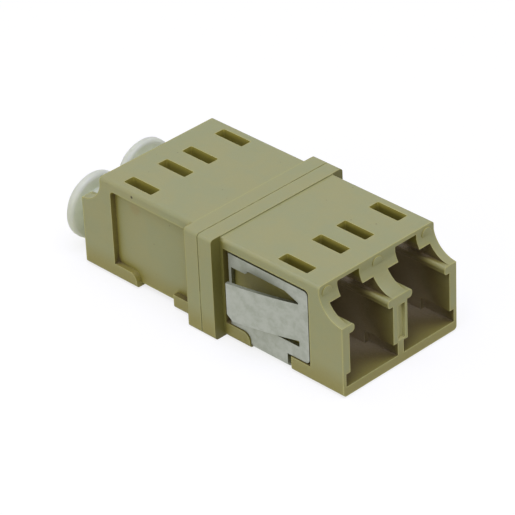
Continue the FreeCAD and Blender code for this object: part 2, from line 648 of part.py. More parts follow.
# ---- document ---------------------------------------------------------------------------------------

def check(doc, pieces):
    """Stop if any object failed or any piece isn't one valid solid."""
    for item in doc.Objects:
        if "Invalid" in item.State or "Error" in item.State:
            raise RuntimeError(f"{item.Label} failed: {item.State}")
    for piece in pieces:
        if piece.Shape.isNull() or not piece.Shape.isValid():
            raise RuntimeError(f"{piece.Label} has no valid shape")
        if len(piece.Shape.Solids) != 1:
            raise RuntimeError(f"{piece.Label} is {len(piece.Shape.Solids)} solids")


def main():
    doc = FreeCAD.newDocument("fibre_adapter")
    fill_sheet(doc)
    left = f"-{HALF_PITCH}"
    pieces = [
        make_housing(doc, "housing_front", 0),
        make_housing(doc, "housing_rear", 180),
        make_clip(doc, "mounting_clip"),
        make_sleeve(doc, "split_sleeve_left", left),
        make_sleeve(doc, "split_sleeve_right", HALF_PITCH),
        make_dust_cap(doc, "dust_cap_left", left, "0"),
        make_dust_cap(doc, "dust_cap_right", HALF_PITCH, "dims.right_cap_pulled"),
    ]
    doc.recompute()
    check(doc, pieces)
    os.makedirs("parts", exist_ok=True)
    for piece in pieces:
        piece.Shape.exportStep(f"parts/{piece.Label}.step")
        box = piece.Shape.BoundBox
        print(f"{piece.Label}: {piece.Shape.Volume:.2f} mm3, X {box.XMin:.2f} to {box.XMax:.2f},"
              f" Y {box.YMin:.2f} to {box.YMax:.2f}, Z {box.ZMin:.2f} to {box.ZMax:.2f}")


main()
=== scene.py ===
"""Looks of a duplex fibre adapter: finishes, eased edges, studio and camera.

The adapter is two welded halves of one beige moulding with a folded spring clip, two ceramic sleeves
and two translucent dust caps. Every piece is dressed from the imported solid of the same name. Lengths
are in metres in the solids' own frame: X along the ports, Y across the pair, Z up.
"""

import logging
import math
import sys
from dataclasses import dataclass
from enum import Enum

import bmesh
import bpy
from mathutils import Matrix, Vector

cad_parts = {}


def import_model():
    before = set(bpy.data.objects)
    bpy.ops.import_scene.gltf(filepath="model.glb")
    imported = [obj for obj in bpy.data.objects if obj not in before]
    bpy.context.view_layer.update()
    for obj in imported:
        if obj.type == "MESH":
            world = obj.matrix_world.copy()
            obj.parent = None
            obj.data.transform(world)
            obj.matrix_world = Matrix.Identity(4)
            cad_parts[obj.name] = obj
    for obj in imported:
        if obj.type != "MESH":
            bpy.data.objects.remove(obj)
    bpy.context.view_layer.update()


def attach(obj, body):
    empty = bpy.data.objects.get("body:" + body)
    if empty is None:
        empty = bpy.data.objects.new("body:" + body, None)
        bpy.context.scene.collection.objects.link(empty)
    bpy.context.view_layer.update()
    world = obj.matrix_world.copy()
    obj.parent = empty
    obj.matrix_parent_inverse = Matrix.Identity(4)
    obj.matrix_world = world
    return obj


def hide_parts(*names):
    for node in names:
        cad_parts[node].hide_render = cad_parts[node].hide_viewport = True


LOG = logging.getLogger("fibre_adapter")
MM = 0.001
NOISE_SPAN = (0.3, 0.7)  # nearly all of a noise's values lie between these
COLLAR_HALF = 1.49 * MM  # from the weld plane to either end of the collar

Socket = bpy.types.NodeSocket
Colour = tuple[float, float, float]
Span = tuple[float, float]


def srgb(red: int, green: int, blue: int) -> Colour:
    """Turn a display colour into linear light.

    Args:
        red: Red, from 0 to 255.
        green: Green, from 0 to 255.
        blue: Blue, from 0 to 255.

    Returns:
        The linear colour that shader sockets take.
    """
    def channel(value: int) -> float:
        """Linear light of one channel."""
        share = value / 255
        return share / 12.92 if share <= 0.04045 else ((share + 0.055) / 1.055) ** 2.4

    return channel(red), channel(green), channel(blue)


# ---- masks and noises -------------------------------------------------------------------------------

@dataclass(frozen=True)
class Noise:
    """Soft blotches.

    Attributes:
        size: Size of one blotch, in metres.
        detail: Octaves.
        roughness: Strength of the finer octaves.
        stretch: Scale along each axis; a small value draws the noise out along it.
    """

    size: float
    detail: float = 3.0
    roughness: float = 0.5
    stretch: Colour = (1.0, 1.0, 1.0)


@dataclass(frozen=True)
class Spot:
    """A soft round place on the object.

    Attributes:
        centre: Middle of the spot.
        radius: Distance at which the mask has faded out.
        stretch: Scale of the distance along each axis.
        core: Share of the radius inside which the mask is full.
    """

    centre: Vector
    radius: float
    stretch: Colour = (1.0, 1.0, 1.0)
    core: float = 0.35


@dataclass(frozen=True)
class Edge:
    """The edges that lie within a radius, from how far a rounded normal turns.

    Attributes:
        radius: Reach of the mask on each side of an edge.
        start: Cosine of the turn at which the mask is 0.
        full: Cosine of the turn at which it is 1.
    """

    radius: float
    start: float = 0.97
    full: float = 0.72


@dataclass(frozen=True)
class Band:
    """A soft step along one axis of the object.

    Attributes:
        axis: X, Y or Z.
        start: Coordinate at which the mask is 0.
        full: Coordinate at which it is 1.
        mirrored: Whether the coordinate counts without its sign.
    """

    axis: str
    start: float
    full: float
    mirrored: bool = False


@dataclass(frozen=True)
class Hollow:
    """The places that the piece's own walls shut in.

    Attributes:
        reach: How far off a wall still counts.
        opened: Open share of the surroundings at which the mask is 0.
        closed: Open share at which it is 1.
    """

    reach: float
    opened: float
    closed: float


# ---- shader graph -----------------------------------------------------------------------------------

class Graph:
    """A material's node tree, with short calls for the nodes that the finishes share."""

    edge_samples: int = 6
    hollow_samples: int = 8

    def __init__(self, name: str) -> None:
        """Start an empty material of that name with an output and one Principled shader.

        Args:
            name: Name of the material.
        """
        self.material = bpy.data.materials.new(name)
        self.material.use_nodes = True
        self.tree = self.material.node_tree
        self.tree.nodes.clear()
        output = self.tree.nodes.new("ShaderNodeOutputMaterial")
        self.shader = self.tree.nodes.new("ShaderNodeBsdfPrincipled")
        self.tree.links.new(self.shader.outputs["BSDF"], output.inputs["Surface"])
        self.place = self.tree.nodes.new("ShaderNodeTexCoord").outputs["Object"]

    def node(self, kind: str, **settings: object) -> bpy.types.Node:
        """Add a node and set its properties.

        Args:
            kind: Blender's node type.
            **settings: Property names and values.

        Returns:
            The new node.
        """
        node = self.tree.nodes.new(kind)
        for name, value in settings.items():
            setattr(node, name, value)
        return node

    def link(self, start: Socket, end: Socket) -> None:
        """Join an output to an input."""
        self.tree.links.new(start, end)

    def constants(self, **values: object) -> None:
        """Set plain values on the Principled shader's own sockets.

        Args:
            **values: Socket names with underscores for spaces, and their values.
        """
        for name, value in values.items():
            self.shader.inputs[name.replace("_", " ")].default_value = value

    def remap(self, value: Socket, low: float, high: float, to_low: float = 0.0,
              to_high: float = 1.0) -> Socket:
        """Stretch a range of a value on to another range, with the ends held.

        Args:
            value: The value to remap.
            low: Value that becomes to_low.
            high: Value that becomes to_high.
            to_low: Result at low and below it.
            to_high: Result at high and above it.

        Returns:
            The remapped value.
        """
        node = self.node("ShaderNodeMapRange", clamp=True, interpolation_type="SMOOTHSTEP")
        for name, number in (("From Min", low), ("From Max", high), ("To Min", to_low), ("To Max", to_high)):
            node.inputs[name].default_value = number
        self.link(value, node.inputs["Value"])
        return node.outputs["Result"]

    def product(self, first: Socket, *others: Socket) -> Socket:
        """Multiply masks, so that only what lies in all of them is left.

        Args:
            first: The first mask.
            *others: The masks to multiply it by.

        Returns:
            The product.
        """
        for other in others:
            node = self.node("ShaderNodeMath", operation="MULTIPLY")
            self.link(first, node.inputs[0])
            self.link(other, node.inputs[1])
            first = node.outputs[0]
        return first

    def blend(self, share: Socket, first: Socket | Colour, second: Socket | Colour) -> Socket:
        """Mix two colours.

        Args:
            share: How much of the second colour shows.
            first: First colour.
            second: Second colour.

        Returns:
            The mixed colour.
        """
        node = self.node("ShaderNodeMix", data_type="RGBA", clamp_factor=True)
        self.link(share, node.inputs["Factor"])
        for name, colour in (("A", first), ("B", second)):
            socket = next(s for s in node.inputs if s.name == name and s.type == "RGBA")
            if isinstance(colour, tuple):
                socket.default_value = (*colour, 1.0)
            else:
                self.link(colour, socket)
        return next(s for s in node.outputs if s.type == "RGBA")

    def noise(self, noise: Noise) -> Socket:
        """Noise between about 0.2 and 0.8.

        Args:
            noise: Its size, detail and stretch.

        Returns:
            The noise's value.
        """
        mapping = self.node("ShaderNodeMapping")
        mapping.inputs["Scale"].default_value = noise.stretch
        self.link(self.place, mapping.inputs["Vector"])
        texture = self.node("ShaderNodeTexNoise")
        texture.inputs["Scale"].default_value = 1 / noise.size
        texture.inputs["Detail"].default_value = noise.detail
        texture.inputs["Roughness"].default_value = noise.roughness
        self.link(mapping.outputs["Vector"], texture.inputs["Vector"])
        return texture.outputs["Fac"]

    def spot(self, spot: Spot) -> Socket:
        """A soft round mask about a point of the object.

        Args:
            spot: Where it lies and how far it reaches.

        Returns:
            1 at the centre, 0 outside the radius.
        """
        offset = self.node("ShaderNodeVectorMath", operation="SUBTRACT")
        self.link(self.place, offset.inputs[0])
        offset.inputs[1].default_value = spot.centre
        scaled = self.node("ShaderNodeVectorMath", operation="MULTIPLY")
        self.link(offset.outputs["Vector"], scaled.inputs[0])
        scaled.inputs[1].default_value = spot.stretch
        length = self.node("ShaderNodeVectorMath", operation="LENGTH")
        self.link(scaled.outputs["Vector"], length.inputs[0])
        return self.remap(length.outputs["Value"], spot.radius * spot.core, spot.radius, 1.0, 0.0)

    def edges(self, edge: Edge) -> Socket:
        """A mask of the edges.

        Args:
            edge: How far it reaches and how sharp an edge has to be.

        Returns:
            0 on flats, up to 1 on edges.
        """
        rounded = self.node("ShaderNodeBevel", samples=self.edge_samples)
        rounded.inputs["Radius"].default_value = edge.radius
        flat = self.node("ShaderNodeNewGeometry")
        dot = self.node("ShaderNodeVectorMath", operation="DOT_PRODUCT")
        self.link(rounded.outputs["Normal"], dot.inputs[0])
        self.link(flat.outputs["Normal"], dot.inputs[1])
        return self.remap(dot.outputs["Value"], edge.start, edge.full)

    def band(self, band: Band) -> Socket:
        """A soft step along one axis of the object.

        Args:
            band: The axis and where the step lies.

        Returns:
            0 before its start, 1 where it is full.
        """
        split = self.node("ShaderNodeSeparateXYZ")
        self.link(self.place, split.inputs[0])
        value = split.outputs[band.axis]
        if band.mirrored:
            size = self.node("ShaderNodeMath", operation="ABSOLUTE")
            self.link(value, size.inputs[0])
            value = size.outputs[0]
        return self.remap(value, band.start, band.full)

    def within(self, bands: tuple[Band, ...]) -> Socket:
        """A mask of what lies within all of the bands."""
        return self.product(*(self.band(band) for band in bands))

    def hollows(self, hollow: Hollow) -> Socket:
        """A mask of the hollows.

        Args:
            hollow: How far it looks and how shut in a place has to be.

        Returns:
            0 on open faces, up to 1 in deep hollows.
        """
        shut = self.node("ShaderNodeAmbientOcclusion", samples=self.hollow_samples, only_local=True)
        shut.inputs["Distance"].default_value = hollow.reach
        return self.remap(shut.outputs["AO"], hollow.opened, hollow.closed)

    def dress(self, colour: Socket, roughness: Socket, height: Socket, depth: float) -> None:
        """Give the shader its colour, its roughness and its fine relief.

        Args:
            colour: Colour of the surface.
            roughness: Its roughness.
            height: Relief, as a value between 0 and 1.
            depth: Height of a full step of the relief, in metres.
        """
        self.link(colour, self.shader.inputs["Base Color"])
        self.link(roughness, self.shader.inputs["Roughness"])
        bump = self.node("ShaderNodeBump")
        bump.inputs["Strength"].default_value = 1.0
        bump.inputs["Distance"].default_value = depth
        self.link(height, bump.inputs["Height"])
        self.link(bump.outputs["Normal"], self.shader.inputs["Normal"])


# ---- finishes ---------------------------------------------------------------------------------------

@dataclass(frozen=True)
class MouldedBeige:
    """Satin beige thermoplastic: soft flow mottling and one dirt nick, with painted light and shade: warm
    highlights and some wear on the edges, olive shade in the hollows and towards the bottom, brown shade in
    the ports, a shadow behind the clip and shade at the collar.
    """

    tone: Colour = srgb(154, 152, 105)
    cool_tone: Colour = srgb(149, 151, 108)
    speck_tone: Colour = srgb(124, 120, 80)
    # painted shade: darker and more olive towards the bottom
    low_shade_tone: Colour = srgb(146, 139, 78)
    # wear and painted highlight on the broad rounds of the edges
    worn_and_highlight_tone: Colour = srgb(164, 161, 98)
    # painted highlight on the fine edges
    edge_highlight_tone: Colour = srgb(184, 181, 124)
    # painted olive shade in the hollows
    hollow_shade_tone: Colour = srgb(124, 117, 46)
    # lighter painted shade in the hollows of the rear half
    rear_hollow_shade_tone: Colour = srgb(146, 138, 60)
    # lighter painted shade by the window rims, painted light coming through them
    rim_lit_shade_tone: Colour = srgb(172, 163, 76)
    # painted brown shade inside the ports
    port_shade_tone: Colour = srgb(98, 86, 50)
    # painted light at the deep ends of the ports
    port_end_light_tone: Colour = srgb(168, 154, 124)
    # painted light in the divider pocket
    divider_light_tone: Colour = srgb(184, 180, 126)
    # painted shadow on the recess floor behind the clip
    clip_shadow_tone: Colour = srgb(128, 122, 62)
    # painted shade on the riser of the collar's step
    step_shade_tone: Colour = srgb(150, 149, 102)
    # painted shadow in the inner corner beside the collar
    corner_shadow_tone: Colour = srgb(112, 108, 50)
    weld_tone: Colour = srgb(120, 119, 74)
    stain_tone: Colour = srgb(154, 146, 96)
    nick_tone: Colour = srgb(72, 62, 28)

    mottle: Noise = Noise(3.2 * MM, 4.0, 0.7)
    mottle_span: Span = (0.35, 0.65)
    specks: Noise = Noise(0.35 * MM, 1.0, 0.2)
    speck_span: Span = (0.80, 0.86)
    weld_patches: Noise = Noise(1.1 * MM, 2.0, 0.5)
    patch_span: Span = (0.3, 0.6)
    patch_strength: Span = (0.25, 1.0)
    grain: Noise = Noise(0.09 * MM, 3.0, 0.6)
    grain_depth: float = 0.004 * MM
    roughness: Span = (0.46, 0.60)
    bleed: float = 0.35 * MM

    # where the wear and painted highlight on the broad edge rounds lie
    worn_and_highlight_edge: Edge = Edge(0.35 * MM, 0.99, 0.80)
    # painted highlight on the fine edges, and how much of it stays where the painted hollow shade lies
    thin_highlight_edge: Edge = Edge(0.12 * MM, 0.985, 0.80)
    highlight_share_in_hollows: float = 0.3
    # where the painted olive hollow shade lies
    recess: Hollow = Hollow(6.0 * MM, 0.93, 0.60)
    # where the painted brown shade inside the ports lies
    port: Hollow = Hollow(12.0 * MM, 0.58, 0.40)
    # where the painted light at the deep ends of the ports lies
    port_end: Hollow = Hollow(12.0 * MM, 0.26, 0.10)
    # where the painted light in the divider pocket lies
    pocket: Hollow = Hollow(1.0 * MM, 0.90, 0.60)

    # where the painted shade towards the bottom lies
    low: Band = Band("Z", 2.6 * MM, 0.6 * MM)
    below_windows: Band = Band("Z", 8.0 * MM, 7.5 * MM)
    # where the painted hollow shade turns lighter: by the window rims and in the rear half
    rim: Band = Band("Z", 8.35 * MM, 8.80 * MM)
    rear: Band = Band("X", -2.0 * MM, -4.0 * MM)
    # the recess floor behind the clip, where a shadow is painted
    clip_cover: tuple[Band, ...] = (
        Band("X", 1.9 * MM, 2.3 * MM), Band("X", 11.0 * MM, 10.8 * MM), Band("Z", 8.2 * MM, 8.0 * MM),
        Band("Y", 5.60 * MM, 5.70 * MM, mirrored=True), Band("Y", 5.95 * MM, 5.80 * MM, mirrored=True))
    # the riser of the collar's step, where shade is painted
    collar_step: tuple[Band, ...] = (
        Band("X", COLLAR_HALF - 0.02 * MM, COLLAR_HALF, mirrored=True),
        Band("X", COLLAR_HALF + 0.12 * MM, COLLAR_HALF + 0.04 * MM, mirrored=True))
    # the inner corner beside the collar, where a shadow is painted
    collar_corner: tuple[Band, ...] = (
        Band("X", COLLAR_HALF - 0.06 * MM, COLLAR_HALF, mirrored=True),
        Band("X", COLLAR_HALF + 0.45 * MM, COLLAR_HALF + 0.08 * MM, mirrored=True),
        Band("Y", 6.05 * MM, 6.20 * MM, mirrored=True))
    weld: Band = Band("X", 0.07 * MM, 0.035 * MM, mirrored=True)

    # the divider pocket: painted light there, and no painted hollow shade
    divider: Spot = Spot(Vector((14.2, 0.13, 3.2)) * MM, 3.4 * MM, (1.0, 5.0, 1.0))
    stain: Spot = Spot(Vector((-8.5, -5.8, 7.15)) * MM, 0.8 * MM)
    nick: Spot = Spot(Vector((-8.25, -6.25, 8.52)) * MM, 0.17 * MM)

    def open_colour(self, graph: Graph) -> Socket:
        """The colour of the open faces, with its mottling, specks and painted shade towards the bottom.

        Args:
            graph: The material's graph.

        Returns:
            The colour before the painted highlights, light and shade.
        """
        mottle = graph.remap(graph.noise(self.mottle), *self.mottle_span)
        colour = graph.blend(mottle, self.tone, self.cool_tone)
        specks = graph.remap(graph.noise(self.specks), *self.speck_span)
        colour = graph.blend(specks, colour, self.speck_tone)
        # painted shade: darker and more olive towards the bottom
        return graph.blend(graph.band(self.low), colour, self.low_shade_tone)

    def shaped_colour(self, graph: Graph, colour: Socket) -> Socket:
        """Paint highlights and wear on the edges, olive shade in the hollows, brown shade inside the ports,
        light at the port ends and in the divider pocket, and a shadow behind the clip.

        Args:
            graph: The material's graph.
            colour: Colour of the open faces.

        Returns:
            The colour with its painted highlights, light and shade.
        """
        divider = graph.spot(self.divider)
        off_divider = graph.remap(divider, 0.0, 1.0, 1.0, 0.0)
        # painted shade: olive in the hollows, kept off the divider pocket
        recess_shade = graph.product(graph.hollows(self.recess), off_divider)
        # the painted hollow shade is lighter in the rear half and by the window rims
        hollow_shade_tone = graph.blend(graph.band(self.rear), self.hollow_shade_tone, self.rear_hollow_shade_tone)
        hollow_shade_tone = graph.blend(graph.band(self.rim), hollow_shade_tone, self.rim_lit_shade_tone)
        # painted highlight on the fine edges, weaker where the painted hollow shade lies
        highlight_share = graph.remap(recess_shade, 0.0, 1.0, 1.0, self.highlight_share_in_hollows)
        thin = graph.product(graph.edges(self.thin_highlight_edge), highlight_share)
        inside = graph.product(graph.band(self.below_windows), off_divider)
        layers: tuple[tuple[Socket, Socket | Colour], ...] = (
            # wear and painted highlight on the broad rounds of the edges
            (graph.edges(self.worn_and_highlight_edge), self.worn_and_highlight_tone),
            # painted olive shade in the hollows
            (recess_shade, hollow_shade_tone),
            # painted highlight on the fine edges
            (thin, self.edge_highlight_tone),
            # painted brown shade inside the ports
            (graph.product(graph.hollows(self.port), inside), self.port_shade_tone),
            # painted light at the deep ends of the ports
            (graph.product(graph.hollows(self.port_end), inside), self.port_end_light_tone),
            # painted light in the divider pocket
            (graph.product(divider, graph.hollows(self.pocket)), self.divider_light_tone),
            # painted shadow on the recess floor behind the clip
            (graph.within(self.clip_cover), self.clip_shadow_tone),
        )
        for share, tone in layers:
            colour = graph.blend(share, colour, tone)
        return colour

    def marked_colour(self, graph: Graph, colour: Socket) -> Socket:
        """Paint shade on the collar's step and a shadow in its corner, and draw the weld line, the stain and
        the nick.

        Args:
            graph: The material's graph.
            colour: Colour of the moulding without them.

        Returns:
            The finished colour.
        """
        patchy = graph.remap(graph.noise(self.weld_patches), *self.patch_span, *self.patch_strength)
        layers: tuple[tuple[Socket, Colour], ...] = (
            # painted shade on the riser of the collar's step
            (graph.within(self.collar_step), self.step_shade_tone),
            # painted shadow in the inner corner beside the collar
            (graph.within(self.collar_corner), self.corner_shadow_tone),
            (graph.product(graph.band(self.weld), patchy), self.weld_tone),
            (graph.spot(self.stain), self.stain_tone),
            (graph.spot(self.nick), self.nick_tone),
        )
        for share, tone in layers:
            colour = graph.blend(share, colour, tone)
        return colour

    def material(self) -> bpy.types.Material:
        """Make the finish.

        Returns:
            The material.
        """
        graph = Graph("moulded_beige")
        colour = self.shaped_colour(graph, self.open_colour(graph))
        grain = graph.noise(self.grain)
        graph.dress(self.marked_colour(graph, colour), graph.remap(grain, *NOISE_SPAN, *self.roughness),
                    grain, self.grain_depth)
        graph.constants(Subsurface_Weight=0.15, Subsurface_Radius=(1.0, 0.85, 0.35),
                        Subsurface_Scale=self.bleed, Specular_IOR_Level=0.45)
        return graph.material


@dataclass(frozen=True)
class SpringSteel:
    """Dull rolled stainless strip: fine lines along the strip, faint clouds, painted highlights on its edges
    and painted dark shade in the hollows behind it.
    """

    tone: Colour = srgb(172, 175, 163)
    cloud_tone: Colour = srgb(160, 164, 150)
    # painted highlight on the strip's edges
    edge_highlight_tone: Colour = srgb(182, 185, 174)
    shade_tone: Colour = srgb(138, 141, 123)
    # painted dark shade in the hollows
    hollow_shade_tone: Colour = srgb(112, 110, 80)
    clouds: Noise = Noise(0.9 * MM, 4.0, 0.65)
    cloud_span: Span = (0.35, 0.68)
    edge: Edge = Edge(0.05 * MM)
    shade: Hollow = Hollow(4.0 * MM, 0.97, 0.72)
    # where the painted dark shade in the hollows lies
    hollow: Hollow = Hollow(1.5 * MM, 0.7, 0.3)
    lines: Noise = Noise(0.10 * MM, 2.0, 0.6, (0.06, 1.0, 1.0))
    line_depth: float = 0.002 * MM
    roughness: Span = (0.42, 0.52)

    def material(self) -> bpy.types.Material:
        """Make the finish.

        Returns:
            The material.
        """
        graph = Graph("spring_steel")
        cloud = graph.remap(graph.noise(self.clouds), *self.cloud_span)
        colour = graph.blend(cloud, self.tone, self.cloud_tone)
        # painted highlight on the strip's edges
        colour = graph.blend(graph.edges(self.edge), colour, self.edge_highlight_tone)
        colour = graph.blend(graph.hollows(self.shade), colour, self.shade_tone)
        # painted dark shade in the hollows
        colour = graph.blend(graph.hollows(self.hollow), colour, self.hollow_shade_tone)
        graph.dress(colour, graph.remap(cloud, 0.0, 1.0, *self.roughness), graph.noise(self.lines),
                    self.line_depth)
        graph.constants(Metallic=1.0, Anisotropic=0.3)
        return graph.material


@dataclass(frozen=True)
class Zirconia:
    """Ground white ceramic with a faint sheen and fine grinding marks round the tube."""

    tone: Colour = srgb(236, 235, 228)
    shade_tone: Colour = srgb(226, 224, 214)
    shade: Noise = Noise(0.8 * MM)
    marks: Noise = Noise(0.03 * MM, 2.0, 0.5, (1.0, 0.1, 0.1))
    mark_depth: float = 0.001 * MM
    roughness: Span = (0.20, 0.34)
    bleed: float = 0.2 * MM

    def material(self) -> bpy.types.Material:
        """Make the finish.

        Returns:
            The material.
        """
        graph = Graph("zirconia")
        colour = graph.blend(graph.remap(graph.noise(self.shade), *NOISE_SPAN), self.tone, self.shade_tone)
        marks = graph.noise(self.marks)
        graph.dress(colour, graph.remap(marks, *NOISE_SPAN, *self.roughness), marks, self.mark_depth)
        graph.constants(Subsurface_Weight=0.1, Subsurface_Scale=self.bleed, Specular_IOR_Level=0.7)
        return graph.material


@dataclass(frozen=True)
class NaturalPolyethylene:
    """Milky translucent cap plastic: light bleeds through it, with a waxy surface and faint clouds."""

    tone: Colour = srgb(229, 233, 214)
    cloud_tone: Colour = srgb(221, 226, 205)
    clouds: Noise = Noise(1.6 * MM, 3.0, 0.55)
    wax: Noise = Noise(0.12 * MM, 2.0, 0.5)
    wax_depth: float = 0.003 * MM
    roughness: Span = (0.34, 0.46)
    bleed: float = 1.4 * MM

    def material(self) -> bpy.types.Material:
        """Make the finish.

        Returns:
            The material.
        """
        graph = Graph("natural_polyethylene")
        colour = graph.blend(graph.remap(graph.noise(self.clouds), *NOISE_SPAN), self.tone, self.cloud_tone)
        wax = graph.noise(self.wax)
        graph.dress(colour, graph.remap(wax, *NOISE_SPAN, *self.roughness), wax, self.wax_depth)
        graph.constants(Subsurface_Weight=0.75, Subsurface_Radius=(1.0, 1.0, 0.85),
                        Subsurface_Scale=self.bleed, Transmission_Weight=0.22, IOR=1.5)
        return graph.material


# ---- pieces -----------------------------------------------------------------------------------------

class Side(Enum):
    """The two ports, by the word that their pieces' names hold."""

    LEFT = "left"
    RIGHT = "right"


@dataclass
class Skin:
    """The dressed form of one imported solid: a merged copy with eased edges and smooth curves.

    Attributes:
        node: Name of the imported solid.
        body: Body that it moves with.
        ease: Width of the small round on its sharp edges.
        sharpest: Edges that turn by more than this are eased.
        segments: Facets across each eased edge.
        merge: Distance within which the solid's loose corners are joined.
        flat: Triangles that turn by less than this become one face.
        crease: Edges that turn by more than this stay sharp in the shading.
    """

    node: str
    body: str
    ease: float = 0.04 * MM
    sharpest: float = math.radians(50)
    segments: int = 2
    merge: float = 0.0005 * MM
    flat: float = math.radians(0.6)
    crease: float = math.radians(38)

    def reshape(self, form: bmesh.types.BMesh) -> None:
        """Leave the form as the solid has it; a piece with finer detail changes it here."""

    def eased_mesh(self) -> bpy.types.Mesh:
        """Copy the solid's mesh, merge it and ease its sharp edges.

        Returns:
            The dressed mesh.
        """
        form = bmesh.new()
        form.from_mesh(bpy.data.objects[self.node].data)
        bmesh.ops.remove_doubles(form, verts=form.verts, dist=self.merge)
        bmesh.ops.dissolve_limit(form, angle_limit=self.flat, verts=form.verts, edges=form.edges)
        self.reshape(form)
        sharp = [edge for edge in form.edges
                 if len(edge.link_faces) == 2 and edge.calc_face_angle(0.0) > self.sharpest]
        bmesh.ops.bevel(form, geom=sharp, offset=self.ease, offset_type="OFFSET", segments=self.segments,
                        profile=0.5, affect="EDGES", clamp_overlap=True, material=-1)
        mesh = bpy.data.meshes.new(f"{self.node}_skin")
        form.to_mesh(mesh)
        form.free()
        mesh.shade_smooth()
        mesh.set_sharp_from_angle(angle=self.crease)
        LOG.info("%s: %d faces, %d edges eased", mesh.name, len(mesh.polygons), len(sharp))
        return mesh

    def build(self, material: bpy.types.Material, slot: str) -> bpy.types.Object:
        """Make the piece and put it in place of its solid.

        Args:
            material: Its finish.
            slot: Name of that finish; not used.

        Returns:
            The finished piece.
        """
        mesh = self.eased_mesh()
        mesh.materials.append(material)
        piece = bpy.data.objects.new(f"{self.node}_skin", mesh)
        bpy.context.scene.collection.objects.link(piece)
        flats = piece.modifiers.new("flat_faces", "WEIGHTED_NORMAL")
        flats.mode = "FACE_AREA"
        flats.weight = 100
        flats.keep_sharp = True
        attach(piece, self.body)
        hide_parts(self.node)
        return piece


@dataclass
class ClipSkin(Skin):
    """The clip's form, with the slits under its tabs opened to their full height.

    Attributes:
        lip: Lowest and highest point of the slits' lower edge in the solid.
        leg_reach: How far the legs lie off the middle at most.
        opened: How far that edge is lowered.
    """

    lip: Span = (2.73 * MM, 2.86 * MM)
    leg_reach: float = 6.2 * MM
    opened: float = 0.20 * MM

    def reshape(self, form: bmesh.types.BMesh) -> None:
        """Lower the slits' lower edge.

        Args:
            form: The piece's mesh in the making.
        """
        low, high = self.lip
        edge = [vert for vert in form.verts if low < vert.co.z < high and abs(vert.co.y) < self.leg_reach]
        bmesh.ops.translate(form, verts=edge, vec=Vector((0.0, 0.0, -self.opened)))


@dataclass
class Housing:
    """Both moulded halves of the adapter."""

    nodes: tuple[str, str] = ("housing_front", "housing_rear")

    def build(self, finish: MouldedBeige) -> list[bpy.types.Object]:
        """Dress both halves."""
        material = finish.material()
        return [Skin(node, "adapter").build(material, "beige_plastic") for node in self.nodes]


@dataclass
class SpringClip:
    """The folded clip round the open half."""

    ease: float = 0.03 * MM

    def build(self, finish: SpringSteel) -> list[bpy.types.Object]:
        """Dress the clip."""
        return [ClipSkin("mounting_clip", "adapter", self.ease).build(finish.material(), "spring_steel")]


@dataclass
class AlignmentSleeves:
    """The two split ceramic sleeves."""

    ease: float = 0.01 * MM

    def build(self, finish: Zirconia) -> list[bpy.types.Object]:
        """Dress both sleeves."""
        material = finish.material()
        return [Skin(f"split_sleeve_{side.value}", "adapter", self.ease).build(material, "zirconia")
                for side in Side]


@dataclass
class DustCaps:
    """The two dust caps, each on the body that its slide moves."""

    ease: float = 0.05 * MM

    def build(self, finish: NaturalPolyethylene) -> list[bpy.types.Object]:
        """Dress both caps."""
        material = finish.material()
        return [Skin(f"dust_cap_{side.value}", f"{side.value}_cap", self.ease)
                .build(material, "translucent_white") for side in Side]


# ---- studio -----------------------------------------------------------------------------------------

@dataclass(frozen=True)
class Viewpoint:
    """Where the camera stands: angles about the object, the point it aims at and its lens."""

    azimuth: float = math.radians(46.485)
    elevation: float = math.radians(32.302)
    roll: float = math.radians(-2.618)
    distance: float = 246.857 * MM
    aim_right: float = -0.826 * MM
    aim_up: float = 2.894 * MM
    aim_height: float = 0.1 * MM
    lens: float = 220.46
    sensor: float = 36.0
    nearest: float = 10.0 * MM

    def build(self) -> bpy.types.Object:
        """Make the scene's camera.

        Returns:
            The camera.
        """
        back = Vector((math.sin(self.azimuth) * math.cos(self.elevation),
                       -math.cos(self.azimuth) * math.cos(self.elevation), math.sin(self.elevation)))
        level = (-back).cross(Vector((0, 0, 1))).normalized()
        upright = level.cross(-back)
        right = math.cos(self.roll) * level + math.sin(self.roll) * upright
        up = -math.sin(self.roll) * level + math.cos(self.roll) * upright
        stand = (right * self.aim_right + up * self.aim_up + back * self.distance
                 + Vector((0, 0, self.aim_height)))
        data = bpy.data.cameras.new("camera")
        data.lens = self.lens
        data.sensor_width = self.sensor
        data.clip_start = self.nearest
        camera = bpy.data.objects.new("camera", data)
        turned = Matrix((right, up, back)).transposed().to_4x4()
        camera.matrix_world = Matrix.Translation(stand) @ turned
        bpy.context.scene.collection.objects.link(camera)
        bpy.context.scene.camera = camera
        return camera


@dataclass(frozen=True)
class Softbox:
    """A large square lamp that points at the object.

    Attributes:
        name: Name of the lamp.
        place: Where it hangs.
        size: Side of the square.
        power: Its light, in watts.
        tint: Colour of its light.
    """

    name: str
    place: Vector
    size: float
    power: float
    tint: Colour

    def build(self) -> bpy.types.Object:
        """Make the lamp.

        Returns:
            The lamp.
        """
        data = bpy.data.lights.new(self.name, "AREA")
        data.shape = "SQUARE"
        data.size = self.size
        data.energy = self.power
        data.color = self.tint
        lamp = bpy.data.objects.new(self.name, data)
        lamp.location = self.place
        lamp.rotation_euler = (-self.place).to_track_quat("-Z", "Y").to_euler()
        bpy.context.scene.collection.objects.link(lamp)
        return lamp


